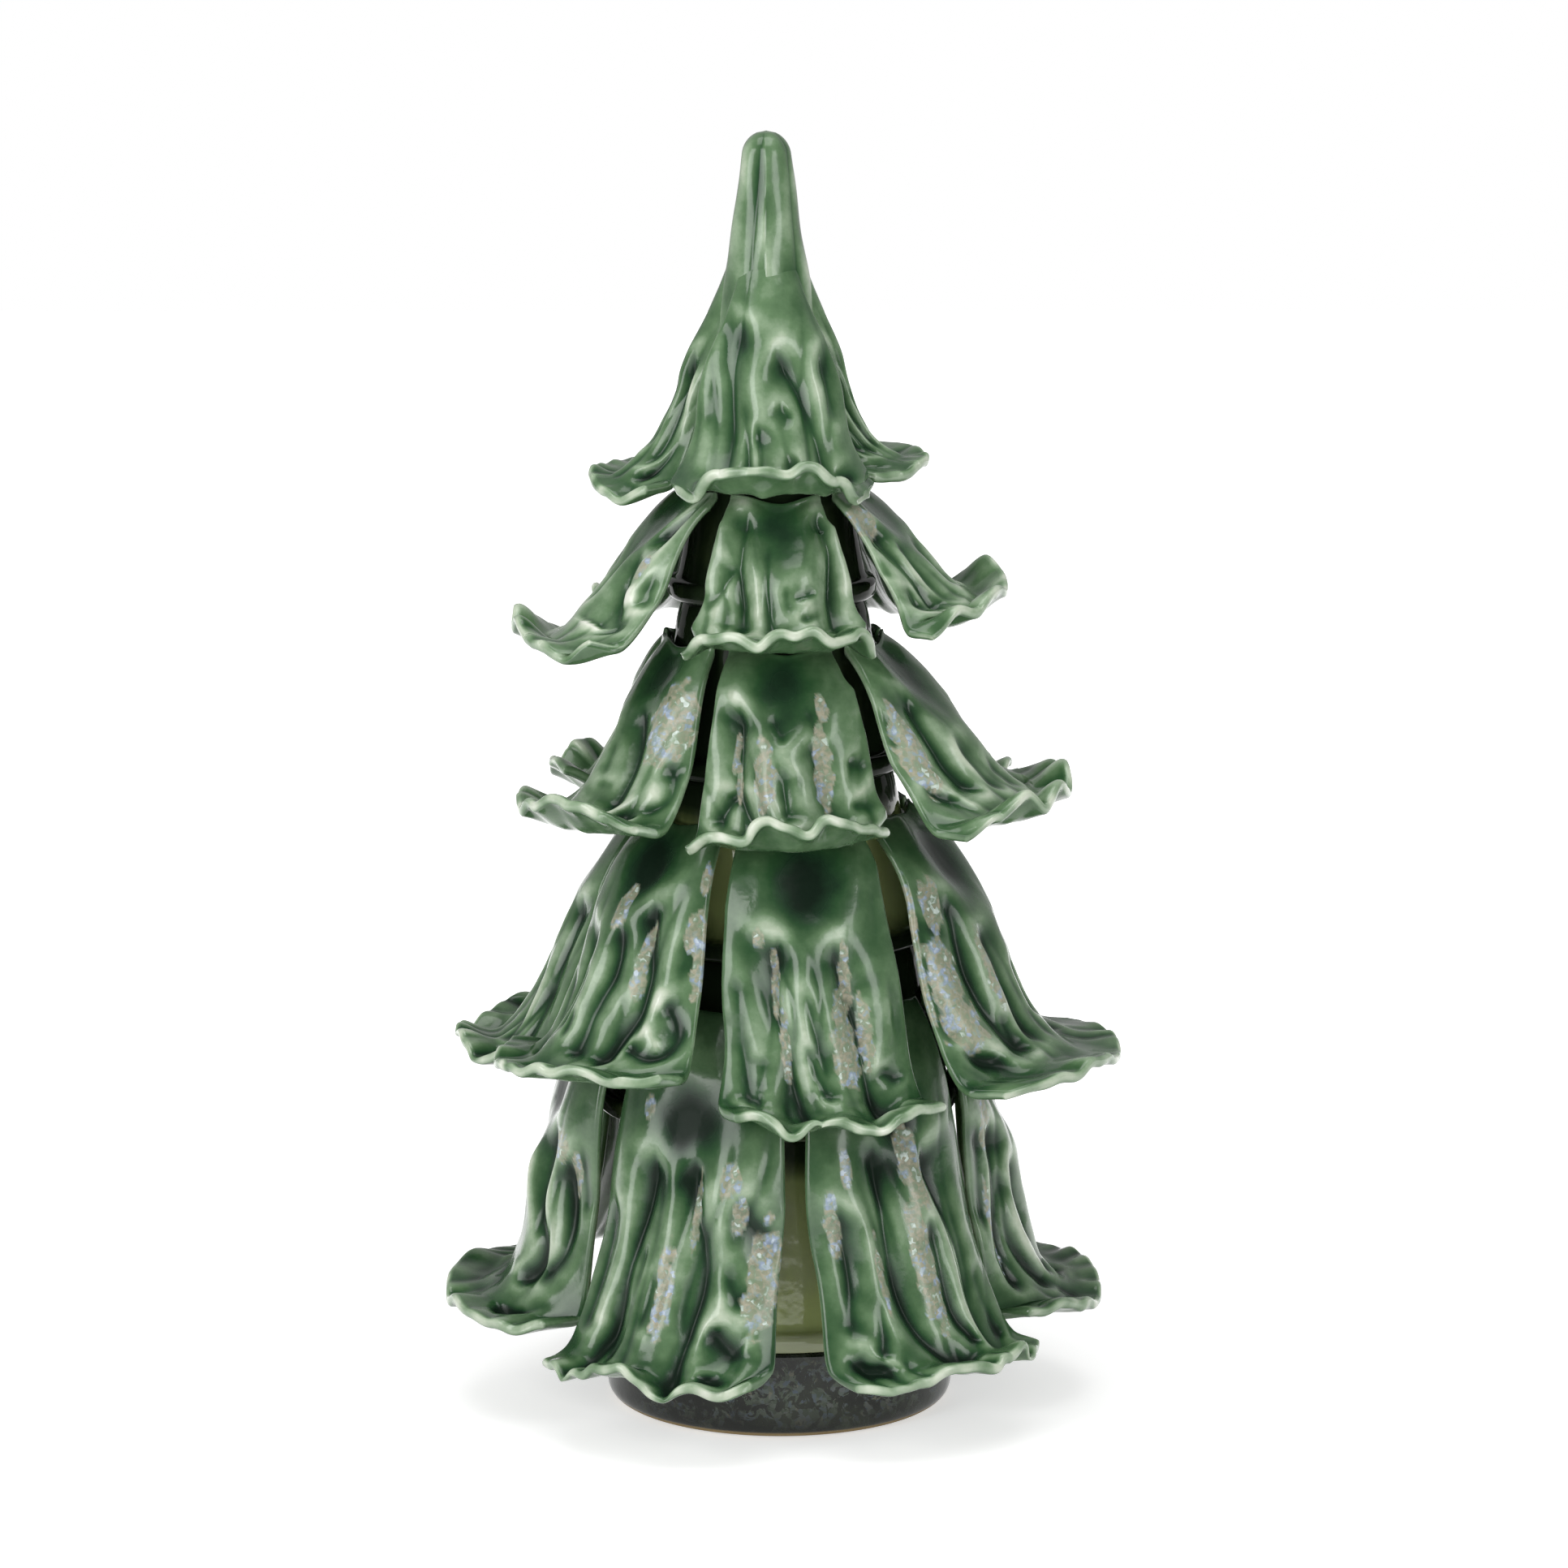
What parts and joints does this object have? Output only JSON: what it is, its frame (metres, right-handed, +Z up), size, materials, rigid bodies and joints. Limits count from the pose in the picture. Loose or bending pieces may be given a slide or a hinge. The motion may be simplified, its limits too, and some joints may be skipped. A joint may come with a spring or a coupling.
{
  "type": "christmas tree figurine",
  "caption": "Glazed earthenware Christmas tree: a hollow stepped trunk on a round foot, hung with tiers of pleated, ruffled leaves under a plain spire.",
  "frame": {"origin": "centre of the foot's underside, on the surface that the tree stands on", "axes": "+Z up through the trunk, -Y towards the front of the tree, +X to the right as seen from the front"},
  "size_m": [0.212, 0.1815, 0.3991],
  "materials": {
    "green_glaze": "glossy green majolica glaze, dark in the recesses and pale on ridges and lips",
    "olive_glaze": "glossy olive glaze, thin over a buff body",
    "dark_glaze": "glossy near-black green glaze over an unglazed foot ring"
  },
  "bodies": {
    "root": {"foot": "dark_glaze", "trunk_drum_1": "olive_glaze", "trunk_drum_2": "olive_glaze", "trunk_drum_3": "olive_glaze", "trunk_drum_4": "olive_glaze", "trunk_drum_5": "olive_glaze", "spire": "green_glaze", "crown_leaf_1": "green_glaze", "crown_leaf_2": "green_glaze", "crown_leaf_3": "green_glaze", "crown_leaf_4": "green_glaze", "tier_2_leaf_1": "green_glaze", "tier_2_leaf_2": "green_glaze", "tier_2_leaf_3": "green_glaze", "tier_2_leaf_4": "green_glaze", "tier_2_leaf_5": "green_glaze", "tier_3_leaf_1": "green_glaze", "tier_3_leaf_2": "green_glaze", "tier_3_leaf_3": "green_glaze", "tier_3_leaf_4": "green_glaze", "tier_3_leaf_5": "green_glaze", "tier_3_leaf_6": "green_glaze", "tier_4_leaf_1": "green_glaze", "tier_4_leaf_2": "green_glaze", "tier_4_leaf_3": "green_glaze", "tier_4_leaf_4": "green_glaze", "tier_4_leaf_5": "green_glaze", "tier_4_leaf_6": "green_glaze", "tier_5_leaf_1": "green_glaze", "tier_5_leaf_2": "green_glaze", "tier_5_leaf_3": "green_glaze", "tier_5_leaf_4": "green_glaze", "tier_5_leaf_5": "green_glaze", "tier_5_leaf_6": "green_glaze"}
  },
  "joints": []
}
